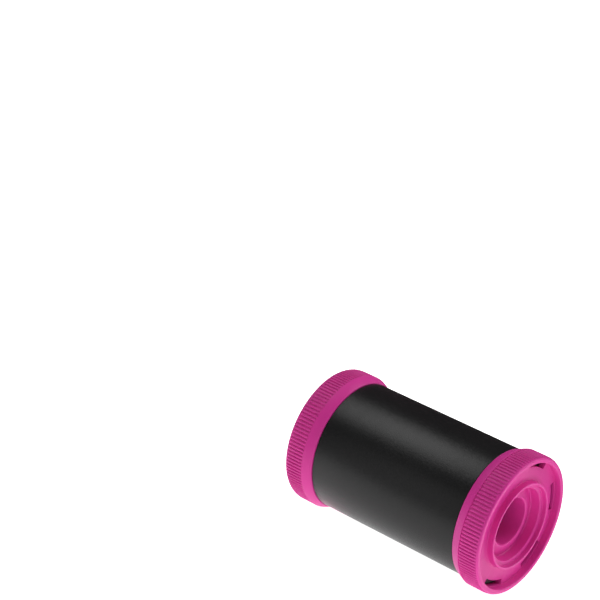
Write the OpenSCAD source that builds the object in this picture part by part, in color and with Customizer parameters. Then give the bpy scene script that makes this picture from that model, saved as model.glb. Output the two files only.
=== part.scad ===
// Heated hair roller: a soft-touch barrel with a store of wax inside, between two ribbed end
// caps that stay cool enough to hold. It lies on its side with its axis along X. The open
// end, which goes over a heating post, faces +X and the closed end faces -X. The origin is
// on the surface that the roller lies on, under the middle of its length.

/* [Whole roller] */
// Length from rim to rim
roller_len = 51; // [50:0.5:70]
// Radius of the barrel over its grip sleeve
barrel_r = 14.3; // [13.8:0.1:18]
// How far the ribs of the caps stand out past the barrel
cap_step = 1.1; // [0.8:0.1:2.5]
// Length of each end cap along the roller
cap_len = 6.8; // [6:0.1:8.2]

/* [Cap outside] */
// Radius of the rounding on the outer edge of the rim
rim_round = 0.35; // [0.2:0.05:0.5]
// Radius of the rounding on the inner edge of the rim
rim_inner_round = 0.25; // [0.1:0.05:0.4]
// Distance from the rounding of the rim to the first end of the ribs
rib_setback = 0.05; // [0.05:0.05:0.3]
// Length of the ribs
rib_len = 4.2; // [2:0.1:4.3]
// Number of ribs round a cap
rib_count = 120; // [80:4:200]
// Depth of the grooves between the ribs
rib_depth = 0.26; // [0.1:0.02:0.3]
// How far the tops of the ribs lie below the edge of the collar
rib_sink = 0.04; // [0.02:0.01:0.1]
// Share of the pitch that the top of a rib takes up
rib_top_share = 0.38; // [0.2:0.02:0.6]
// Height of the edge of the collar over the barrel
collar_lip = 0.15; // [0.1:0.05:0.6]
// Radius of the rounding on the edge of the collar
collar_round = 0.2; // [0.1:0.05:0.4]

/* [End face] */
// Depth of the end face below the rim
face_depth = 1.6; // [1.2:0.1:2]
// Thickness of the end face
face_t = 1.3; // [1:0.1:1.6]
// Number of windows in the end face, one over each snap hook
window_count = 6; // [4:1:8]
// Angle that one window takes up, in degrees
window_angle = 29; // [20:1:34]
// Width of the root left along the outer and the inner edge of a window
window_root = 0.1; // [0.05:0.05:0.3]
// Angle of the first window of the open end from straight up, in degrees
open_window_turn = 30; // [0:1:60]
// Angle of the first window of the closed end from straight up, in degrees
closed_window_turn = 0; // [0:1:60]

/* [Open end] */
// Radius of the bore that the heating post fills
bore_r = 5.2; // [4.5:0.1:6.4]
// Depth of the mouth of the bore below the rim
mouth_depth = 2.6; // [2:0.1:3.2]
// Radius of the rounding on the mouth of the bore
mouth_round = 0.3; // [0.1:0.05:0.5]
// Width of the sloping lip round the bore
lip_w = 2.9; // [2:0.1:3]
// Drop of that lip from the mouth of the bore to its foot
lip_drop = 1; // [0.6:0.1:1.4]
// Width of the shelf outside the lip
shelf_w = 1; // [0.6:0.1:1.4]
// Depth of the shelf below the rim
shelf_depth = 1.15; // [0.9:0.05:1.5]
// Thickness of the raised ring outside the shelf
ring_t = 0.5; // [0.3:0.1:0.8]
// Depth of the top of that ring below the rim
ring_top_depth = 0.15; // [0:0.05:0.4]
// Length of the guide sleeve from the rim to its inner end
guide_len = 8.4; // [7.5:0.1:9]
// Wall of the guide sleeve
guide_wall = 1.2; // [0.8:0.1:1.6]

/* [Closed end] */
// Radius of the smallest of the raised rings
ripple_first_r = 3.7; // [3:0.1:4]
// Distance from one raised ring to the next
ripple_pitch = 3.4; // [2.8:0.1:3.6]
// Number of raised rings
ripple_count = 3; // [1:1:3]
// Width of a raised ring at its foot
ripple_w = 1.6; // [1:0.1:2.2]
// Height of a raised ring
ripple_h = 0.45; // [0.2:0.05:0.8]
// Radius of the pip at the centre
pip_r = 1.2; // [0.8:0.1:1.6]
// Height of the pip
pip_h = 0.35; // [0.2:0.05:0.6]
// Radius of the press ring that holds the closed end's seal
press_ring_r = 7; // [6:0.1:8]

/* [Snap hooks] */
// Thickness of the arm of a hook
hook_t = 1; // [0.8:0.1:1.4]
// Height of the bead that snaps into the barrel tube
bead_h = 0.5; // [0.3:0.05:0.6]
// Length of that bead
bead_len = 1.2; // [0.8:0.1:1.6]
// Length of a hook from the end face to its tip
hook_len = 5.6; // [5:0.1:6]

/* [Barrel] */
// Thickness of the grip sleeve
sleeve_t = 0.4; // [0.3:0.05:0.6]
// Wall of the barrel tube
tube_wall = 1.3; // [1.1:0.1:1.8]
// Clearance between pieces that are pushed together
fit_gap = 0.1; // [0.05:0.01:0.15]
// Clearance between the end of a piece and what it butts against
end_gap = 0.1; // [0.05:0.01:0.2]

/* [Heat store] */
// Wall of the core tube
core_wall = 0.6; // [0.5:0.1:1]
// Length of the core tube, from its flange to its closed end
core_len = 28; // [20:0.5:29]
// Width of the flange at the mouth of the core tube
flange_w = 2.6; // [1.5:0.1:3.5]
// Thickness of that flange
flange_t = 0.6; // [0.4:0.1:0.8]
// Thickness of the seals at the two ends of the wax
seal_t = 3; // [2:0.1:4]

/* [Hidden] */
$fn = 128;
full_turn = 360;
quarter_turn = 90;
round_steps = 4;
overlap = 0.3;

cap_color = [0.80, 0.25, 0.56];
sleeve_color = [0.18, 0.18, 0.18];
tube_color = [0.30, 0.30, 0.32];
core_color = [0.78, 0.79, 0.80];
wax_color = [0.93, 0.88, 0.72];
seal_color = [0.75, 0.75, 0.72];

cap_r = barrel_r + cap_step;
collar_r = barrel_r + collar_lip;
rib_start = rim_round + rib_setback;
rib_end = rib_start + rib_len;
rib_r = cap_r - rib_sink;
groove_r = rib_r - rib_depth;
tube_out_r = barrel_r - sleeve_t;
tube_in_r = tube_out_r - tube_wall;
ring_in_r = tube_out_r + fit_gap;
face_back = face_depth + face_t;

moat_r = bore_r + lip_w;
shelf_r = moat_r + shelf_w;
ring_r = shelf_r + ring_t;
lip_foot = mouth_depth + lip_drop;
guide_r = bore_r + guide_wall;

hook_out_r = tube_in_r - fit_gap;
hook_in_r = hook_out_r - hook_t;
hook_end = face_back + hook_len;
bead_end = hook_end - bead_h;
bead_start = bead_end - bead_len;
arm_angle = window_angle - 2;

core_r = bore_r + core_wall;
flange_depth = guide_len + end_gap;
core_mouth = flange_depth + flange_t;
core_end = core_mouth + core_len;
seal_start = max(core_mouth, hook_end) + end_gap;
seal_end = seal_start + seal_t;
press_end = seal_start - end_gap;
sleeve_len = roller_len - 2 * (cap_len + end_gap);
tube_len = roller_len - 2 * (face_back + end_gap);

// Points of a quarter arc about [r, depth], from one angle to another
function arc(r, depth, radius, from, to) =
    [for (i = [0:round_steps]) let (a = from + (to - from) * i / round_steps)
        [r + radius * cos(a), depth + radius * sin(a)]];

// Puts a shape that is drawn with +Z as depth into the open end, facing +X
module at_open_end() {
    translate([roller_len / 2, 0, cap_r]) rotate([0, -quarter_turn, 0]) children();
}

// Puts a shape that is drawn with +Z as depth into the closed end, facing -X
module at_closed_end() {
    translate([-roller_len / 2, 0, cap_r]) rotate([0, quarter_turn, 0]) children();
}

// A round tube between two depths
module ring(outer, inner, from, to) {
    translate([0, 0, from]) difference() {
        cylinder(r = outer, h = to - from);
        translate([0, 0, -overlap]) cylinder(r = inner, h = to - from + 2 * overlap);
    }
}

// Half section of a cap's outer ring: rim, rib seat, collar and the skirt over the tube
module ring_section() {
    polygon(concat(
        [[ring_in_r, face_depth]],
        arc(ring_in_r + rim_inner_round, rim_inner_round, rim_inner_round,
            2 * quarter_turn, 3 * quarter_turn),
        arc(groove_r - rim_round, rim_round, rim_round, -quarter_turn, 0),
        [[groove_r, rib_end], [cap_r, rib_end]],
        arc(collar_r - collar_round, cap_len - collar_round, collar_round, 0, quarter_turn),
        [[ring_in_r, cap_len]]
    ));
}

// The band of ribs, a toothed ring that stands on the rib seat
module rib_band() {
    pitch = full_turn / rib_count;
    half_top = pitch * rib_top_share / 2;
    half_foot = pitch * (1 - rib_top_share) / 2;
    translate([0, 0, rib_start]) linear_extrude(rib_len) difference() {
        polygon([for (i = [0:rib_count - 1]) each [
            for (p = [[-half_foot, groove_r], [-half_top, rib_r],
                      [half_top, rib_r], [half_foot, groove_r]])
                p[1] * [cos(i * pitch + p[0]), sin(i * pitch + p[0])]]]);
        circle(r = groove_r - overlap);
    }
}

// Outer ring of a cap with its ribs
module cap_ring() {
    rotate_extrude() ring_section();
    rib_band();
}

// One wedge of a ring, centred on the +X side
module ring_arc(outer, inner, from, to, angle) {
    rotate([0, 0, -angle / 2]) translate([0, 0, from])
        rotate_extrude(angle = angle) translate([inner, 0]) square([outer - inner, to - from]);
}

// Windows through the end face, between the hooks' arms and the rim
module windows(turn) {
    for (i = [0:window_count - 1])
        rotate([0, 0, turn + i * full_turn / window_count])
            ring_arc(ring_in_r - window_root, hook_out_r + window_root,
                     face_depth - overlap, face_back + overlap, window_angle);
}

// Snap hooks behind the windows, each with a bead that stands out
module hooks(turn) {
    for (i = [0:window_count - 1])
        rotate([0, 0, turn + i * full_turn / window_count - arm_angle / 2])
            rotate_extrude(angle = arm_angle) polygon([
                [hook_in_r, face_back - overlap], [hook_out_r, face_back - overlap],
                [hook_out_r, bead_start], [hook_out_r + bead_h, bead_start],
                [hook_out_r + bead_h, bead_end], [hook_out_r, hook_end],
                [hook_in_r, hook_end]]);
}

// Half section of the open end's face: floor, raised ring, shelf, moat, lip and guide sleeve
module open_face_section() {
    polygon(concat(
        [[bore_r, guide_len]],
        arc(bore_r + mouth_round, mouth_depth + mouth_round, mouth_round,
            2 * quarter_turn, 3 * quarter_turn),
        [[moat_r, lip_foot], [moat_r, shelf_depth], [shelf_r, shelf_depth],
         [shelf_r, ring_top_depth], [ring_r, ring_top_depth], [ring_r, face_depth],
         [ring_in_r + overlap, face_depth], [ring_in_r + overlap, face_back],
         [shelf_r, face_back], [shelf_r, lip_foot + face_t],
         [guide_r, lip_foot + face_t], [guide_r, guide_len]]
    ));
}

module open_end_cap() {
    color(cap_color) at_open_end() {
        difference() {
            union() {
                cap_ring();
                rotate_extrude() open_face_section();
            }
            windows(open_window_turn);
        }
        hooks(open_window_turn);
    }
}

// One raised ring of the closed end, with a crowned top
module ripple(r) {
    rotate_extrude() polygon([
        [r - ripple_w / 2, face_depth + overlap], [r - ripple_w / 2, face_depth],
        [r - ripple_w / 4, face_depth - ripple_h * 0.8], [r, face_depth - ripple_h],
        [r + ripple_w / 4, face_depth - ripple_h * 0.8], [r + ripple_w / 2, face_depth],
        [r + ripple_w / 2, face_depth + overlap]]);
}

module closed_end_cap() {
    color(cap_color) at_closed_end() {
        difference() {
            union() {
                cap_ring();
                translate([0, 0, face_depth]) cylinder(r = ring_in_r + overlap, h = face_t);
            }
            windows(closed_window_turn);
        }
        for (i = [0:ripple_count - 1]) ripple(ripple_first_r + i * ripple_pitch);
        translate([0, 0, face_depth - pip_h]) cylinder(r = pip_r, h = pip_h + overlap);
        ring(press_ring_r, press_ring_r - guide_wall, face_back - overlap, press_end);
        hooks(closed_window_turn);
    }
}

// Rigid tube with a groove near each end for the beads of the hooks
module barrel_tube() {
    bead_play = end_gap;
    tube_start = face_back + end_gap;
    color(tube_color) at_open_end() difference() {
        ring(tube_out_r, tube_in_r, tube_start, tube_start + tube_len);
        for (from = [bead_start - bead_play, roller_len - hook_end - bead_play])
            translate([0, 0, from])
                cylinder(r = hook_out_r + bead_h + fit_gap, h = hook_end - bead_start + 2 * bead_play);
    }
}

// Soft-touch sleeve that the hair is wound on
module grip_sleeve() {
    color(sleeve_color) at_open_end()
        ring(barrel_r, tube_out_r, cap_len + end_gap, cap_len + end_gap + sleeve_len);
}

// Drawn cup that takes the heating post and passes its heat to the wax
module core_tube() {
    color(core_color) at_open_end() difference() {
        union() {
            translate([0, 0, flange_depth]) cylinder(r = core_r + flange_w, h = flange_t);
            translate([0, 0, flange_depth]) cylinder(r = core_r, h = core_end - flange_depth);
        }
        translate([0, 0, flange_depth - overlap])
            cylinder(r = bore_r, h = core_end - core_wall - flange_depth + overlap);
    }
}

// Wax that fills the space between the core tube, the barrel tube and the two seals
module wax_charge() {
    color(wax_color) at_open_end() difference() {
        translate([0, 0, seal_end + end_gap])
            cylinder(r = tube_in_r - fit_gap, h = roller_len - 2 * (seal_end + end_gap));
        translate([0, 0, seal_end]) cylinder(r = core_r + fit_gap, h = core_end + end_gap - seal_end);
    }
}

// Silicone ring between the core tube and the barrel tube
module open_end_seal() {
    color(seal_color) at_open_end()
        ring(tube_in_r - fit_gap, core_r + fit_gap, seal_start, seal_end);
}

// Silicone disc that closes the other end of the wax
module closed_end_seal() {
    color(seal_color) at_closed_end()
        translate([0, 0, seal_start]) cylinder(r = tube_in_r - fit_gap, h = seal_t);
}

open_end_cap();
closed_end_cap();
barrel_tube();
grip_sleeve();
core_tube();
wax_charge();
open_end_seal();
closed_end_seal();
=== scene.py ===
# %% [markdown]
# # A heated hair roller
#
# A heated roller is a soft-touch barrel between two ribbed plastic caps. The open end goes over
# a heating post, wax inside stores the heat, and the caps stay cool enough to hold.
# The engineering model is loaded first as a fixed frame. It says where every piece is, so this
# script only has to make each piece look like the real one, and never moves or resizes it.

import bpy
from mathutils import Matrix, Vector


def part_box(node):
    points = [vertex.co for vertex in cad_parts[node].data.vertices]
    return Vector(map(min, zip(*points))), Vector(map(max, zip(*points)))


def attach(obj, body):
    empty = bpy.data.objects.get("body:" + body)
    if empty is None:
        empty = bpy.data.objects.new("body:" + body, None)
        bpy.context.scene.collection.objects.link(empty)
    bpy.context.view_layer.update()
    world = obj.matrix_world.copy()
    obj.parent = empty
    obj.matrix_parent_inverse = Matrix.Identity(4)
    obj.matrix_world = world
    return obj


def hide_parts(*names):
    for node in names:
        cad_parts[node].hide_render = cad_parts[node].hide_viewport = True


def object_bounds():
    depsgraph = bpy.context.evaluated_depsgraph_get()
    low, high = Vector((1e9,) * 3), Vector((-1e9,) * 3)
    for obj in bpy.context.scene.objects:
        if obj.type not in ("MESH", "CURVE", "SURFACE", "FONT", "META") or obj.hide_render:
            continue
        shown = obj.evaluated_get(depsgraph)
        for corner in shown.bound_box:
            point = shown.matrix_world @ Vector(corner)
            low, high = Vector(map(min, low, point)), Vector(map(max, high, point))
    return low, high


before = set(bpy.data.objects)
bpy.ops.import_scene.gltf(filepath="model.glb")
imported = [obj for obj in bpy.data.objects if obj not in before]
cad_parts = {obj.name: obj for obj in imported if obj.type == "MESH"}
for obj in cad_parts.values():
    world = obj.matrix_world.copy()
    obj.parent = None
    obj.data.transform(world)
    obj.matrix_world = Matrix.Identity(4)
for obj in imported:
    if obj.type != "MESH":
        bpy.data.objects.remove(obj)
cad_low, cad_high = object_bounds()
print("frame:", len(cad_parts), "nodes,", [round(v * 1000, 2) for v in cad_high - cad_low], "mm")

# %% [markdown]
# ## Sizes
# The outline comes from the frame: the rims, the barrel and the joint between cap and sleeve are
# read from the nodes' boxes. What a box can't tell, such as the rings of the end faces, is given
# once in millimetres, in the cell that first needs it.

# %% Sizes
from math import cos, pi, radians, sin, tan

import bmesh
import bpy
from mathutils import Matrix, Vector

MM = 0.001
end_x = cad_high.x
axis_z = (cad_low.z + cad_high.z) / 2
cap_r = (cad_high.z - cad_low.z) / 2 / MM
sleeve_low, sleeve_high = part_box("grip_sleeve")
tube_low, tube_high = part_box("barrel_tube")
barrel_r = (sleeve_high.z - sleeve_low.z) / 2 / MM
tube_r = (tube_high.z - tube_low.z) / 2 / MM
end_gap, ring_gap = 0.1, 0.1
cap_len = (end_x - sleeve_high.x) / MM - end_gap
face_back = (end_x - tube_high.x) / MM - end_gap
ring_in_r = tube_r + ring_gap
print(f"cap radius {cap_r:.2f}, barrel radius {barrel_r:.2f}, cap length {cap_len:.2f} mm")

# %% [markdown]
# ## Camera
# The camera looks down at the roller from off its open end, as someone at a table would, through
# a fairly long lens. A longer one would make the two caps look equally big.

# %% Camera
camera_data = bpy.data.cameras.new("camera")
camera_data.sensor_width = 36
camera_data.lens = 120
camera = bpy.data.objects.new("camera", camera_data)
bpy.context.scene.collection.objects.link(camera)
camera_right = Vector((0.7543, 0.6564, 0.0104)).normalized()
camera_up = Vector((-0.3362, 0.3726, 0.8650))
camera_back = camera_right.cross(camera_up).normalized()
camera_turn = Matrix((camera_right, camera_back.cross(camera_right), camera_back)).transposed()
camera_place = Vector((206.09, -280.29, 244.49)) * MM + Vector((0, 0, axis_z))
camera.matrix_world = Matrix.Translation(camera_place) @ camera_turn.to_4x4()
bpy.context.scene.camera = camera
print("camera at", [round(v, 3) for v in camera_place], "m, lens", camera_data.lens, "mm")

# %% [markdown]
# ## Floor and light
# A high-key product shot on a light table. The table glows, so it stays white and lifts the
# underside of the roller, and its glow is what draws the pale line along the lower edge of the
# black barrel. Four soft boxes stand round it: a high one that draws the sheen along the barrel,
# a strong one behind, and two weak ones in front. To the roller the room is nearly dark, which
# keeps the contrast of the satin surfaces, though the backdrop looks white. A dark card close
# behind shows only in reflections and keeps the top edge of the barrel black.

# %% Floor, world and lights
def new_object(name, data):
    """Links a new object to the scene and gives it back."""
    made = bpy.data.objects.new(name, data)
    bpy.context.scene.collection.objects.link(made)
    return made


def soft_light(name, place, aim, size, watts):
    """A rectangular area light at place, pointed at aim, both in metres."""
    light = bpy.data.lights.new(name, "AREA")
    light.shape = "RECTANGLE"
    light.size, light.size_y = size
    light.energy = watts
    made = new_object(name, light)
    away = (Vector(aim) - Vector(place)).normalized()
    made.matrix_world = Matrix.Translation(place) @ away.to_track_quat("-Z", "Y").to_matrix().to_4x4()
    return made


def stage_sheet(name, corners, material):
    """A flat sheet through four corners, which belongs to the studio and not to the roller."""
    mesh = bpy.data.meshes.new(name)
    mesh.from_pydata(corners, [], [(0, 1, 2, 3)])
    mesh.materials.append(material)
    made = new_object(name, mesh)
    return made


def new_material(name):
    """An empty node material and its node tree."""
    material = bpy.data.materials.new(name)
    material.use_nodes = True
    material.node_tree.nodes.clear()
    return material, material.node_tree


bpy.context.scene.view_settings.view_transform = "Standard"

floor_paint, tree = new_material("floor_paint")
floor_shader = tree.nodes.new("ShaderNodeBsdfPrincipled")
floor_shader.inputs["Roughness"].default_value = 0.9
floor_shader.inputs["Emission Color"].default_value = (1, 1, 1, 1)
floor_shader.inputs["Emission Strength"].default_value = 1.02
floor_grain = tree.nodes.new("ShaderNodeTexNoise")
floor_grain.inputs["Scale"].default_value = 40
floor_ramp = tree.nodes.new("ShaderNodeValToRGB")
floor_ramp.color_ramp.elements[0].color = (0.93, 0.93, 0.93, 1)
floor_ramp.color_ramp.elements[1].color = (0.96, 0.96, 0.96, 1)
floor_out = tree.nodes.new("ShaderNodeOutputMaterial")
tree.links.new(floor_grain.outputs["Fac"], floor_ramp.inputs["Fac"])
tree.links.new(floor_ramp.outputs["Color"], floor_shader.inputs["Base Color"])
tree.links.new(floor_shader.outputs[0], floor_out.inputs["Surface"])

floor_half = 3.0
floor_z = cad_low.z
stage_sheet("floor", [(-floor_half, -floor_half, floor_z), (floor_half, -floor_half, floor_z),
                      (floor_half, floor_half, floor_z), (-floor_half, floor_half, floor_z)], floor_paint)

card_paint, tree = new_material("card_paint")
card_shader = tree.nodes.new("ShaderNodeBsdfPrincipled")
card_shader.inputs["Base Color"].default_value = (0.03, 0.012, 0.02, 1)
card_shader.inputs["Roughness"].default_value = 0.9
card_out = tree.nodes.new("ShaderNodeOutputMaterial")
tree.links.new(card_shader.outputs[0], card_out.inputs["Surface"])
card_gap = 0.007
card_y = cad_high.y + card_gap
card_left, card_right, card_top = -0.10, 0.035, 0.05
card = stage_sheet("dark_card", [(card_left, card_y, floor_z), (card_right, card_y, floor_z),
                                 (card_right, card_y, card_top), (card_left, card_y, card_top)], card_paint)
card.visible_camera = card.visible_diffuse = card.visible_shadow = card.visible_transmission = False

world = bpy.data.worlds.new("studio")
world.use_nodes = True
sky = world.node_tree
sky_path = sky.nodes.new("ShaderNodeLightPath")
sky_strength = sky.nodes.new("ShaderNodeMapRange")
sky_strength.inputs["To Min"].default_value = 0.01
sky_strength.inputs["To Max"].default_value = 0.97
sky.links.new(sky_path.outputs["Is Camera Ray"], sky_strength.inputs["Value"])
sky.links.new(sky_strength.outputs[0], sky.nodes["Background"].inputs["Strength"])
sky.nodes["Background"].inputs["Color"].default_value = (1, 1, 1, 1)
bpy.context.scene.world = world

middle = Vector((0, 0, axis_z))
LIGHT_DISTANCE = 0.8
LIGHT_HEIGHT = 0.5
for name, azimuth, elevation, width, watts in (
        ("high_light", 168, 62, 0.5, 2.9), ("back_light", 60, 35, 0.5, 4.0),
        ("camera_light", -44, 22, 0.5, 1.35), ("side_light", -114, 25, 0.5, 0.65)):
    turn, rise = radians(azimuth), radians(elevation)
    direction = Vector((cos(rise) * cos(turn), cos(rise) * sin(turn), sin(rise)))
    soft_light(name, middle + direction * LIGHT_DISTANCE, middle, (width, LIGHT_HEIGHT), watts)
print("floor at z", round(floor_z, 4), "and four soft lights")

# %% [markdown]
# ## Surface effects that several finishes share
# Two effects turn up on more than one material, so each is a shader node group. The first is the
# fine skin that a mould leaves: a faint orange-peel height and a drift of gloss. The second is
# dust and fine handling marks, a soft mask that lifts the colour a little where it lands.

# %% Shared shader groups
def new_group(name, inputs, outputs):
    """A shader node group with float inputs {name: value} and outputs {name: socket type}."""
    group = bpy.data.node_groups.new(name, "ShaderNodeTree")
    for label, value in inputs.items():
        socket = group.interface.new_socket(label, in_out="INPUT", socket_type="NodeSocketFloat")
        socket.default_value = value
    for label, kind in outputs.items():
        group.interface.new_socket(label, in_out="OUTPUT", socket_type=kind)
    return group, group.nodes.new("NodeGroupInput"), group.nodes.new("NodeGroupOutput")


def add(tree, kind, links=(), **values):
    """Adds a node, sets its sockets by name and links (output, input name) pairs into it."""
    node = tree.nodes.new(kind)
    for label, value in values.items():
        if label in node.bl_rna.properties:
            setattr(node, label, value)
        else:
            node.inputs[label.replace("_", " ")].default_value = value
    for output, label in links:
        tree.links.new(output, node.inputs[label])
    return node


def build_moulded_skin():
    """Fine skin of a moulded surface: Height for a Bump and Gloss to add to Roughness."""
    group, given, result = new_group(
        "moulded_skin", {"Grain Scale": 9000.0, "Drift Scale": 220.0, "Gloss Change": 0.06},
        {"Height": "NodeSocketFloat", "Gloss": "NodeSocketFloat"})
    place = add(group, "ShaderNodeTexCoord").outputs["Object"]
    grain = add(group, "ShaderNodeTexNoise", [(place, "Vector"), (given.outputs["Grain Scale"], "Scale")],
                Detail=2.0)
    drift = add(group, "ShaderNodeTexNoise", [(place, "Vector"), (given.outputs["Drift Scale"], "Scale")],
                Detail=3.0)
    centred = add(group, "ShaderNodeMath", [(drift.outputs["Fac"], 0)], operation="SUBTRACT")
    centred.inputs[1].default_value = 0.5
    gloss = add(group, "ShaderNodeMath", [(centred.outputs[0], 0), (given.outputs["Gloss Change"], 1)],
                operation="MULTIPLY")
    group.links.new(grain.outputs["Fac"], result.inputs["Height"])
    group.links.new(gloss.outputs[0], result.inputs["Gloss"])
    return group


def build_handling_marks():
    """Specks and soft smears of dust: a Mask from 0 to the given amount."""
    group, given, result = new_group(
        "handling_marks", {"Speck Scale": 1400.0, "Smear Scale": 90.0, "Amount": 0.1},
        {"Mask": "NodeSocketFloat"})
    place = add(group, "ShaderNodeTexCoord").outputs["Object"]
    specks = add(group, "ShaderNodeTexNoise", [(place, "Vector"), (given.outputs["Speck Scale"], "Scale")],
                 Detail=6.0, Roughness=0.7)
    smears = add(group, "ShaderNodeTexNoise", [(place, "Vector"), (given.outputs["Smear Scale"], "Scale")],
                 Detail=2.0)
    few = add(group, "ShaderNodeMapRange", [(specks.outputs["Fac"], "Value")], clamp=True)
    few.inputs["From Min"].default_value = 0.58
    few.inputs["From Max"].default_value = 0.75
    both = add(group, "ShaderNodeMath", [(few.outputs[0], 0), (smears.outputs["Fac"], 1)],
               operation="MULTIPLY")
    mask = add(group, "ShaderNodeMath", [(both.outputs[0], 0), (given.outputs["Amount"], 1)],
               operation="MULTIPLY")
    group.links.new(mask.outputs[0], result.inputs["Mask"])
    return group


moulded_skin = build_moulded_skin()
handling_marks = build_handling_marks()
print("shader groups:", moulded_skin.name, "and", handling_marks.name)

# %% [markdown]
# ## Cap plastic
# The caps are injection moulded in a magenta plastic with a satin mould finish. The colour comes
# from pigment in the plastic, so it is the base colour of one dielectric shader. The moulded skin
# breaks up the gloss, and a trace of dust lightens it, as on any handled plastic.

# %% Cap plastic
def place_group(tree, group, **values):
    """Puts a shader node group in a material and sets its inputs by name."""
    node = tree.nodes.new("ShaderNodeGroup")
    node.node_tree = group
    for label, value in values.items():
        node.inputs[label.replace("_", " ")].default_value = value
    return node


def blended(tree, mask, first, second):
    """The output of a colour mix from first to second where mask goes from 0 to 1."""
    node = add(tree, "ShaderNodeMix", data_type="RGBA")
    sockets = {socket.identifier: socket for socket in node.inputs}
    tree.links.new(mask, sockets["Factor_Float"])
    for key, colour in (("A_Color", first), ("B_Color", second)):
        sockets[key].default_value = (*colour, 1)
    return next(socket for socket in node.outputs if socket.identifier == "Result_Color")


def moulded_plastic(name, colour, dusty, specular, roughness, grain_height, **skin):
    """A satin moulded plastic: colour shifts to dusty where the handling marks fall."""
    material, tree = new_material(name)
    shader = add(tree, "ShaderNodeBsdfPrincipled")
    shader.inputs["Specular IOR Level"].default_value = specular
    surface = place_group(tree, moulded_skin, **skin)
    marks = place_group(tree, handling_marks, Amount=0.35)
    tone = blended(tree, marks.outputs["Mask"], colour, dusty)
    rough = add(tree, "ShaderNodeMath", [(surface.outputs["Gloss"], 0)], operation="ADD")
    rough.inputs[1].default_value = roughness
    bump = add(tree, "ShaderNodeBump", [(surface.outputs["Height"], "Height")], Distance=grain_height)
    add(tree, "ShaderNodeOutputMaterial", [(shader.outputs[0], "Surface")])
    tree.links.new(tone, shader.inputs["Base Color"])
    tree.links.new(rough.outputs[0], shader.inputs["Roughness"])
    tree.links.new(bump.outputs["Normal"], shader.inputs["Normal"])
    return material


cap_plastic = moulded_plastic("cap_plastic", (0.63, 0.035, 0.285), (0.71, 0.13, 0.40), 0.22, 0.42,
                              0.000012)
tube_plastic = moulded_plastic("tube_plastic", (0.03, 0.03, 0.034), (0.12, 0.12, 0.12), 0.5, 0.45, 0.00002,
                               Grain_Scale=5000.0)
print("materials:", cap_plastic.name, tube_plastic.name)

# %% [markdown]
# ## Soft-touch sleeve finish
# The barrel has a velvety black skin that grips the hair. Sheen on its own would turn it grey
# all over, and plain gloss would look like hard plastic, so it is a mid-rough dielectric with a
# weak reflection. A very fine nap is bumped in, and the gloss drifts slightly round the barrel.

# %% Soft-touch finish
def soft_touch_finish():
    """Velvety black skin of the barrel."""
    material, tree = new_material("soft_touch")
    shader = add(tree, "ShaderNodeBsdfPrincipled")
    shader.inputs["Specular IOR Level"].default_value = 0.23
    surface = place_group(tree, moulded_skin, Grain_Scale=7000.0, Drift_Scale=150.0, Gloss_Change=0.08)
    marks = place_group(tree, handling_marks, Amount=0.25)
    tone = blended(tree, marks.outputs["Mask"], (0.010, 0.010, 0.0103), (0.05, 0.048, 0.048))
    rough = add(tree, "ShaderNodeMath", [(surface.outputs["Gloss"], 0)], operation="ADD")
    rough.inputs[1].default_value = 0.31
    bump = add(tree, "ShaderNodeBump", [(surface.outputs["Height"], "Height")], Distance=0.00003)
    add(tree, "ShaderNodeOutputMaterial", [(shader.outputs[0], "Surface")])
    tree.links.new(tone, shader.inputs["Base Color"])
    tree.links.new(rough.outputs[0], shader.inputs["Roughness"])
    tree.links.new(bump.outputs["Normal"], shader.inputs["Normal"])
    return material


soft_touch = soft_touch_finish()
print("material:", soft_touch.name)

# %% [markdown]
# ## A round section with filleted corners
# A moulded cap is a turned shape, so it starts as a half section: a loop of corners, each with its
# distance from the axis, its depth below the rim and the radius that rounds it off. Rounding the
# section once is cheaper and cleaner than bevelling the finished mesh, and a sharp corner is what
# gives a plastic part away as a stand-in.

# %% Half sections
FILLET_STEPS = 4


def fillet(before, corner, after, radius):
    """Points of the arc that rounds off one corner of a section, or the corner itself."""
    if radius == 0:
        return [corner]
    into, out = (before - corner).normalized(), (after - corner).normalized()
    half = into.angle(out) / 2
    reach = min(radius / tan(half), 0.48 * (before - corner).length, 0.48 * (after - corner).length)
    centre = corner + (into + out).normalized() * reach / cos(half)
    start, end = corner + into * reach - centre, corner + out * reach - centre
    turn = start.angle_signed(end)
    return [centre + Matrix.Rotation(-turn * i / FILLET_STEPS, 2) @ start for i in range(FILLET_STEPS + 1)]


def half_section(corners):
    """Rounds a loop of (r, depth, fillet radius) corners. Gives its points and where each corner went."""
    flat = [Vector(c[:2]) for c in corners]
    points, starts = [], []
    for i, (_, _, radius) in enumerate(corners):
        starts.append(len(points))
        points += fillet(flat[i - 1], flat[i], flat[(i + 1) % len(flat)], radius)
    return points, starts


square = half_section([(1, 1, 0.2), (2, 1, 0), (2, 2, 0), (1, 2, 0)])[0]
print("a filleted square has", len(square), "points, the first", [round(v, 2) for v in square[0]])

# %% [markdown]
# ## Turning a section into a cap
# The section is carried round the axis in six equal sectors, one for each window. Inside a sector
# the steps are spaced so that two of them fall exactly on the window's ends. The window is then
# made by leaving faces out and walling the gap, which needs no boolean and leaves a clean mesh.

# %% Turn a section
WINDOWS = 6
WINDOW_ANGLE = 29
STEPS = 20


def ring_angles(first):
    """Angles round the axis in degrees, and for each step whether a window takes it."""
    angles, open_step = [], []
    web = 360 / WINDOWS - WINDOW_ANGLE
    for k in range(WINDOWS):
        start = first + k * 360 / WINDOWS - WINDOW_ANGLE / 2
        angles += [start + WINDOW_ANGLE * i / STEPS for i in range(STEPS)]
        angles += [start + WINDOW_ANGLE + web * i / STEPS for i in range(STEPS)]
        open_step += [True] * STEPS + [False] * STEPS
    return angles, open_step


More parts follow.
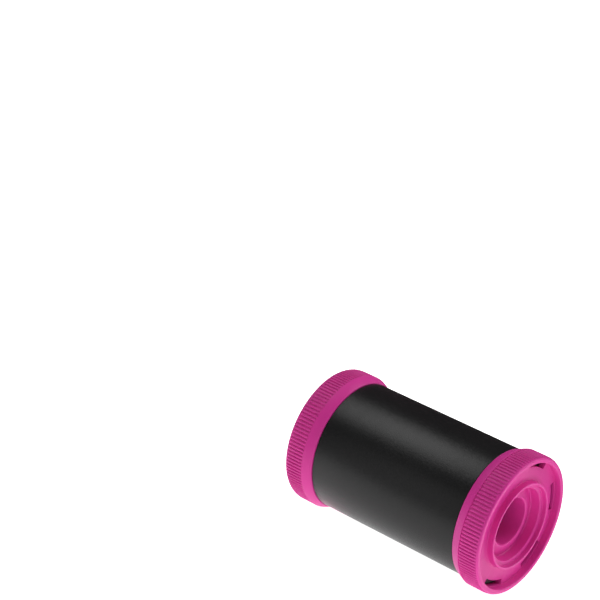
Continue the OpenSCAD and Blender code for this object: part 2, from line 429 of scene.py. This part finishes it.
def on_roller(r, depth, angle, side):
    """Point at a distance r from the axis, a depth below the rim of one end (side 1 or -1)."""
    turn = radians(angle)
    return Vector((side * (end_x - depth * MM), r * MM * sin(turn), axis_z + r * MM * cos(turn)))


def new_face(bm, corners):
    """Adds a face, or nothing if its corners run together at a pole."""
    distinct = list(dict.fromkeys(corners))
    if len(distinct) > 2:
        bm.faces.new(distinct)


def turned_mesh(section, side, first=0, windows=None):
    """Closed bmesh of a turned section. windows holds the section's four corners of a window."""
    points, _ = section
    angles, open_step = ring_angles(first)
    bm = bmesh.new()
    poles = {j: bm.verts.new(on_roller(0, p.y, 0, side)) for j, p in enumerate(points) if p.x == 0}
    rows = [[poles.get(j) or bm.verts.new(on_roller(p.x, p.y, a, side)) for j, p in enumerate(points)]
            for a in angles]
    front_out, front_in, back_in, back_out = windows or (None,) * 4
    for i, is_open in enumerate(open_step):
        is_open = is_open and windows is not None
        here, there = rows[i], rows[(i + 1) % len(rows)]
        for j in range(len(points)):
            k = (j + 1) % len(points)
            if not is_open or j not in (front_in, back_out):
                new_face(bm, (here[j], there[j], there[k], here[k]))
        if is_open:
            new_face(bm, (here[front_out], there[front_out], there[back_out], here[back_out]))
            new_face(bm, (here[front_in], there[front_in], there[back_in], here[back_in]))
            if not open_step[i - 1]:
                new_face(bm, [here[j] for j in windows])
            if not open_step[(i + 1) % len(rows)]:
                new_face(bm, [there[j] for j in windows])
    return bm


# %% [markdown]
# ## Snap hooks
# Behind each window stands a springy arm with a bead that clicks into the barrel tube. The window
# is there because the mould needs a core to shape the back of that bead. Each hook is a short
# stretch of the same turning, closed at both ends.

# %% Snap hooks
HOOK_STEPS = 8


def add_hooks(bm, section, side, first):
    """Adds the six snap hooks to a cap's mesh."""
    points, _ = section
    arm_angle = WINDOW_ANGLE - 2
    for k in range(WINDOWS):
        start = first + k * 360 / WINDOWS - arm_angle / 2
        rows = [[bm.verts.new(on_roller(p.x, p.y, start + arm_angle * i / HOOK_STEPS, side)) for p in points]
                for i in range(HOOK_STEPS + 1)]
        for here, there in zip(rows, rows[1:]):
            for j in range(len(points)):
                n = (j + 1) % len(points)
                bm.faces.new((here[j], there[j], there[n], here[n]))
        bm.faces.new(rows[0])
        bm.faces.new(rows[-1])


def to_object(bm, name, material):
    """A smooth-shaded object from a bmesh, with its faces turned outwards."""
    bmesh.ops.recalc_face_normals(bm, faces=bm.faces)
    mesh = bpy.data.meshes.new(name)
    bm.to_mesh(mesh)
    bm.free()
    mesh.materials.append(material)
    mesh.shade_smooth()
    return new_object(name, mesh)


# %% [markdown]
# ## Ribs
# Fine ribs run round each cap for grip: the same little bar, a hundred and twenty times. Arrays of
# copies would be tedious to change, so a Geometry Nodes tree makes one bar, rounds its top and
# its ends, and stands it on a ring of points. Its inputs are the sizes that a designer would turn.

# %% Geometry Nodes helpers
def new_node_tree(name, inputs):
    """A Geometry Nodes tree with inputs {name: (socket type, value)} and its two end nodes."""
    tree = bpy.data.node_groups.new(name, "GeometryNodeTree")
    tree.interface.new_socket("Geometry", in_out="INPUT", socket_type="NodeSocketGeometry")
    tree.interface.new_socket("Geometry", in_out="OUTPUT", socket_type="NodeSocketGeometry")
    for label, (kind, value) in inputs.items():
        socket = tree.interface.new_socket(label, in_out="INPUT", socket_type=kind)
        if value is not None:
            socket.default_value = value
    return tree, tree.nodes.new("NodeGroupInput"), tree.nodes.new("NodeGroupOutput")


def maths(tree, operation, *terms):
    """The output of a Math node whose terms are numbers or outputs."""
    node = tree.nodes.new("ShaderNodeMath")
    node.operation = operation
    for i, term in enumerate(terms):
        if isinstance(term, (int, float)):
            node.inputs[i].default_value = term
        else:
            tree.links.new(term, node.inputs[i])
    return node.outputs[0]


def build_rib_tree():
    """Stands Count rounded ribs round the X axis and joins them to what comes in."""
    tree, given, result = new_node_tree("ribs_round_a_cap", {
        "Count": ("NodeSocketInt", 120), "Radius": ("NodeSocketFloat", 0.015),
        "Middle": ("NodeSocketVector", (0, 0, 0)), "Length": ("NodeSocketFloat", 0.003),
        "Width": ("NodeSocketFloat", 0.0004), "Height": ("NodeSocketFloat", 0.0002),
        "Foot": ("NodeSocketFloat", 0.0001), "Material": ("NodeSocketMaterial", None)})
    inp = given.outputs
    bar = add(tree, "GeometryNodeMeshCube")
    bar.inputs["Size"].default_value = (1, 1, 1)
    bar.inputs["Vertices X"].default_value = 7
    bar.inputs["Vertices Y"].default_value = 6
    at = add(tree, "ShaderNodeSeparateXYZ", [(add(tree, "GeometryNodeInputPosition").outputs[0], "Vector")])
    x, y, z = at.outputs
    end = maths(tree, "POWER", maths(tree, "ABSOLUTE", maths(tree, "MULTIPLY", x, 2.0)), 12.0)
    flank = maths(tree, "POWER", maths(tree, "ABSOLUTE", maths(tree, "MULTIPLY", y, 2.0)), 2.5)
    crown = maths(tree, "MULTIPLY", maths(tree, "SUBTRACT", 1.0, maths(tree, "MULTIPLY", end, 0.55)),
                  maths(tree, "SUBTRACT", 1.0, maths(tree, "MULTIPLY", flank, 0.9)))
    top = maths(tree, "GREATER_THAN", z, 0.0)
    rise = maths(tree, "MULTIPLY", inp["Height"], crown)
    sink = maths(tree, "MULTIPLY", inp["Foot"], -1.0)
    height = add(tree, "ShaderNodeMix", [(top, "Factor"), (sink, "A"), (rise, "B")])
    shaped = add(tree, "ShaderNodeCombineXYZ", [
        (maths(tree, "MULTIPLY", x, inp["Length"]), "X"),
        (maths(tree, "MULTIPLY", y, inp["Width"]), "Y"), (height.outputs["Result"], "Z")])
    rib = add(tree, "GeometryNodeSetPosition", [
        (bar.outputs["Mesh"], "Geometry"), (shaped.outputs[0], "Position")])
    index = add(tree, "GeometryNodeInputIndex").outputs[0]
    turn = maths(tree, "DIVIDE", maths(tree, "MULTIPLY", index, -2 * pi), inp["Count"])
    back = maths(tree, "MULTIPLY", inp["Radius"], -1.0)
    spot = add(tree, "ShaderNodeCombineXYZ", [
        (maths(tree, "MULTIPLY", maths(tree, "SINE", turn), back), "Y"),
        (maths(tree, "MULTIPLY", maths(tree, "COSINE", turn), inp["Radius"]), "Z")])
    place = add(tree, "ShaderNodeVectorMath", [(spot.outputs[0], 0), (inp["Middle"], 1)], operation="ADD")
    points = add(tree, "GeometryNodePoints", [(inp["Count"], "Count"), (place.outputs[0], "Position")])
    lean = add(tree, "ShaderNodeCombineXYZ", [(turn, "X")])
    stand = add(tree, "GeometryNodeInstanceOnPoints", [
        (points.outputs[0], "Points"), (rib.outputs[0], "Instance"), (lean.outputs[0], "Rotation")])
    real = add(tree, "GeometryNodeRealizeInstances", [(stand.outputs[0], "Geometry")])
    smooth = add(tree, "GeometryNodeSetShadeSmooth", [(real.outputs[0], "Geometry")])
    joined = add(tree, "GeometryNodeJoinGeometry", [
        (smooth.outputs[0], "Geometry"), (inp["Geometry"], "Geometry")])
    painted = add(tree, "GeometryNodeSetMaterial", [
        (joined.outputs[0], "Geometry"), (inp["Material"], "Material")])
    tree.links.new(painted.outputs[0], result.inputs["Geometry"])
    return tree


def apply_tree(obj, tree, values):
    """Runs a node tree on an object with its inputs set by name, and keeps the plain mesh."""
    modifier = obj.modifiers.new(tree.name, "NODES")
    modifier.node_group = tree
    for item in tree.interface.items_tree:
        if item.item_type == "SOCKET" and item.in_out == "INPUT" and item.name in values:
            modifier[item.identifier] = values[item.name]
    settle(obj)


def settle(obj):
    """Turns what an object's modifiers make into its own plain mesh and removes them."""
    depsgraph = bpy.context.evaluated_depsgraph_get()
    made = bpy.data.meshes.new_from_object(obj.evaluated_get(depsgraph), depsgraph=depsgraph)
    made.name = obj.name
    obj.modifiers.clear()
    obj.data = made


rib_tree = build_rib_tree()
print("rib tree:", len(rib_tree.nodes), "nodes")

# %% [markdown]
# ## The two caps
# Both caps share their outside: a rounded rim, the seat of the ribs and a collar that falls to the
# barrel. Only the sunk end face differs, so one function makes the outside and takes the
# rest of the section as a list.

# %% Cap sizes, in millimetres from the axis and below the rim
face_depth = 1.6
rim_round = 0.35
rib_start, rib_end = 0.4, 4.6
rib_sink, rib_depth = 0.04, 0.26
seat_r = cap_r - rib_sink - rib_depth
collar_lip = 0.15
collar_r = barrel_r + collar_lip
window_root = 0.1
tube_wall, hook_gap, hook_thickness, hook_len = 1.3, 0.1, 1.0, 5.6
hook_out_r = tube_r - tube_wall - hook_gap
hook_in_r = hook_out_r - hook_thickness
hook_end = face_back + hook_len
hook_root = 0.3
bead, bead_len = 0.5, 1.2
RIBS = 120
rib_width_share = 0.72
rib_foot = 0.06
window_edge = 0.12


def cap_outside():
    """Corners of the outside, from the foot of the rim's inner wall to the back of the face."""
    return [
        (ring_in_r, face_depth, 0.06), (ring_in_r, 0, 0.3), (seat_r, 0, rim_round),
        (seat_r, rib_end, 0.05), (cap_r, rib_end, 0.12),
        (collar_r, cap_len, 0.2), (ring_in_r, cap_len, 0.05), (ring_in_r, face_back, 0),
        (ring_in_r - window_root, face_back, 0), (hook_out_r + window_root, face_back, 0)]


def hook_section():
    """Corners of a snap hook, whose root is sunk in the face."""
    root = face_back - hook_root
    return half_section([
        (hook_in_r, root, 0), (hook_out_r, root, 0), (hook_out_r, hook_end - bead - bead_len, 0),
        (hook_out_r + bead, hook_end - bead - bead_len, 0.15), (hook_out_r + bead, hook_end - bead, 0.15),
        (hook_out_r, hook_end, 0.1), (hook_in_r, hook_end, 0.1)])


def build_cap(name, node, side, first, face):
    """A whole cap: turned body with windows, hooks and ribs. face goes on from the outside's corners."""
    corners = cap_outside() + face + [
        (hook_out_r + window_root, face_depth, 0), (ring_in_r - window_root, face_depth, 0)]
    section = half_section(corners)
    starts = section[1]
    outside = len(cap_outside())
    windows = (starts[-1], starts[-2], starts[outside - 1], starts[outside - 2])
    bm = turned_mesh(section, side, first, windows)
    add_hooks(bm, hook_section(), side, first)
    cap = to_object(bm, name, cap_plastic)
    edge = cap.modifiers.new("window_edges", "BEVEL")
    edge.width = window_edge * MM
    edge.segments = 2
    edge.limit_method = "ANGLE"
    edge.angle_limit = radians(60)
    settle(cap)
    pitch = 2 * pi * seat_r / RIBS
    apply_tree(cap, rib_tree, {
        "Count": RIBS, "Radius": seat_r * MM, "Length": (rib_end - rib_start) * MM,
        "Middle": (side * (end_x - (rib_start + rib_end) / 2 * MM), 0, axis_z),
        "Width": pitch * rib_width_share * MM, "Height": rib_depth * MM, "Foot": rib_foot * MM,
        "Material": cap_plastic})
    cap.data.set_sharp_from_angle(angle=radians(50))
    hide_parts(node)
    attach(cap, "root")
    print(name, len(cap.data.polygons), "faces")


# %% [markdown]
# ## End faces
# The open end has a sunk ring channel round a bell-mouthed bore that goes over the heating post,
# and a fine raised ring outside it. The closed end is a shallow dish with soft ripples and a
# small pip in the middle, where the plastic came into the mould. A press ring behind it holds
# the seal down.

# %% Open end cap
bore_r, mouth_depth, mouth_round = 5.2, 2.6, 0.3
guide_wall, guide_end = 1.2, 8.4
guide_r = bore_r + guide_wall
moat_r, moat_foot = bore_r + 2.9, 3.6
shelf_r, shelf_depth = moat_r + 1.0, 1.15
ring_r, ring_top = shelf_r + 0.5, 0.15
face_t = face_back - face_depth

open_face = [
    (shelf_r, face_back, 0.05), (shelf_r, moat_foot + face_t, 0.05), (guide_r, moat_foot + face_t, 0.1),
    (guide_r, guide_end, 0.1), (bore_r, guide_end, 0.1), (bore_r, mouth_depth, mouth_round),
    (moat_r, moat_foot, 0.35), (moat_r, shelf_depth, 0.18), (shelf_r, shelf_depth, 0.12),
    (shelf_r, ring_top, 0.15), (ring_r, ring_top, 0.15), (ring_r, face_depth, 0.2)]
build_cap("open_cap", "open_end_cap", 1, 30, open_face)

# %% Closed end cap
ripple_first_r, ripple_pitch, ripple_count, ripple_w, ripple_h = 3.7, 3.4, 3, 1.6, 0.45
pip_r, pip_h = 1.2, 0.35
press_r, press_end = 7.0, 9.1


def ripple_corners(r):
    """One soft ripple of the dish, a ridge with a round crest, from its inner foot outwards."""
    return [(r - ripple_w / 2, face_depth, 0.25), (r - ripple_w / 4, face_depth - ripple_h * 0.8, 0.2),
            (r, face_depth - ripple_h, 0.2), (r + ripple_w / 4, face_depth - ripple_h * 0.8, 0.2),
            (r + ripple_w / 2, face_depth, 0.25)]


closed_face = [
    (press_r, face_back, 0.1), (press_r, press_end, 0.1), (press_r - guide_wall, press_end, 0.1),
    (press_r - guide_wall, face_back, 0.1), (0, face_back, 0), (0, face_depth - pip_h, 0),
    (pip_r, face_depth - pip_h, 0.12), (pip_r, face_depth, 0.1)]
for i in range(ripple_count):
    closed_face += ripple_corners(ripple_first_r + i * ripple_pitch)
build_cap("closed_cap", "closed_end_cap", -1, 0, closed_face)

# %% [markdown]
# ## The sleeve
# The soft-touch skin is drawn over the rigid tube and ends just short of both collars. Its ends
# are rounded where the moulding shrinks back, which leaves the fine dark line between cap and
# barrel that the eye expects.

# %% Grip sleeve
sleeve_start = (end_x - sleeve_high.x) / MM
sleeve_end = (end_x - sleeve_low.x) / MM
sleeve_section = half_section([
    (tube_r, sleeve_start, 0.05), (barrel_r, sleeve_start, 0.12),
    (barrel_r, sleeve_end, 0.12), (tube_r, sleeve_end, 0.05)])
sleeve = to_object(turned_mesh(sleeve_section, 1), "soft_touch_sleeve", soft_touch)
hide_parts("grip_sleeve")
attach(sleeve, "root")
print("sleeve:", len(sleeve.data.polygons), "faces")

# %% [markdown]
# ## What lies inside
# The rigid tube, the core tube, the wax and the two seals hardly show, so their engineering shapes
# stay as they are. They still get real finishes, because a part is often looked at in section:
# drawn aluminium with fine lines along the draw, cloudy wax and silicone rubber with a faint bloom.

# %% Finishes of the inner pieces
def drawn_aluminium():
    """Bare aluminium tube with fine draw lines along its length and slight stains."""
    material, tree = new_material("core_aluminium")
    place = add(tree, "ShaderNodeTexCoord").outputs["Object"]
    along = add(tree, "ShaderNodeMapping", [(place, "Vector")])
    along.inputs["Scale"].default_value = (60, 3000, 3000)
    lines = add(tree, "ShaderNodeTexNoise", [(along.outputs[0], "Vector")], Scale=1.0, Detail=3.0)
    marks = place_group(tree, handling_marks, Amount=0.5)
    tone = blended(tree, marks.outputs["Mask"], (0.80, 0.80, 0.79), (0.55, 0.55, 0.54))
    rough = add(tree, "ShaderNodeMapRange", [(lines.outputs["Fac"], "Value")])
    rough.inputs["To Min"].default_value = 0.22
    rough.inputs["To Max"].default_value = 0.42
    bump = add(tree, "ShaderNodeBump", [(lines.outputs["Fac"], "Height")], Distance=0.00001)
    shader = add(tree, "ShaderNodeBsdfPrincipled", [
        (tone, "Base Color"), (rough.outputs[0], "Roughness"), (bump.outputs[0], "Normal")], Metallic=1.0)
    add(tree, "ShaderNodeOutputMaterial", [(shader.outputs[0], "Surface")])
    return material


def cloudy_wax():
    """Hard white wax, cloudy inside and slightly uneven in tone."""
    material, tree = new_material("wax")
    place = add(tree, "ShaderNodeTexCoord").outputs["Object"]
    clouds = add(tree, "ShaderNodeTexNoise", [(place, "Vector")], Scale=300.0, Detail=4.0)
    tone = blended(tree, clouds.outputs["Fac"], (0.86, 0.84, 0.77), (0.93, 0.92, 0.88))
    bump = add(tree, "ShaderNodeBump", [(clouds.outputs["Fac"], "Height")], Distance=0.00005)
    shader = add(tree, "ShaderNodeBsdfPrincipled", [(tone, "Base Color"), (bump.outputs[0], "Normal")],
                 Roughness=0.5, Subsurface_Weight=0.3)
    shader.inputs["Subsurface Radius"].default_value = (0.002, 0.0018, 0.0014)
    add(tree, "ShaderNodeOutputMaterial", [(shader.outputs[0], "Surface")])
    return material


def silicone_rubber():
    """Grey silicone rubber with a moulded skin and a faint bloom."""
    material, tree = new_material("seal_rubber")
    surface = place_group(tree, moulded_skin, Grain_Scale=4000.0, Gloss_Change=0.1)
    marks = place_group(tree, handling_marks, Amount=0.4)
    tone = blended(tree, marks.outputs["Mask"], (0.23, 0.23, 0.24), (0.40, 0.40, 0.41))
    rough = maths(tree, "ADD", surface.outputs["Gloss"], 0.6)
    bump = add(tree, "ShaderNodeBump", [(surface.outputs["Height"], "Height")], Distance=0.00002)
    shader = add(tree, "ShaderNodeBsdfPrincipled", [
        (tone, "Base Color"), (rough, "Roughness"), (bump.outputs[0], "Normal")])
    add(tree, "ShaderNodeOutputMaterial", [(shader.outputs[0], "Surface")])
    return material


rubber = silicone_rubber()
inner_finish = {"barrel_tube": tube_plastic, "core_tube": drawn_aluminium(), "wax_charge": cloudy_wax(),
                "open_end_seal": rubber, "closed_end_seal": rubber}
for node, material in inner_finish.items():
    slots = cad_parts[node].data.materials
    slots.clear()
    slots.append(material)
    print(node, "is finished in", material.name)
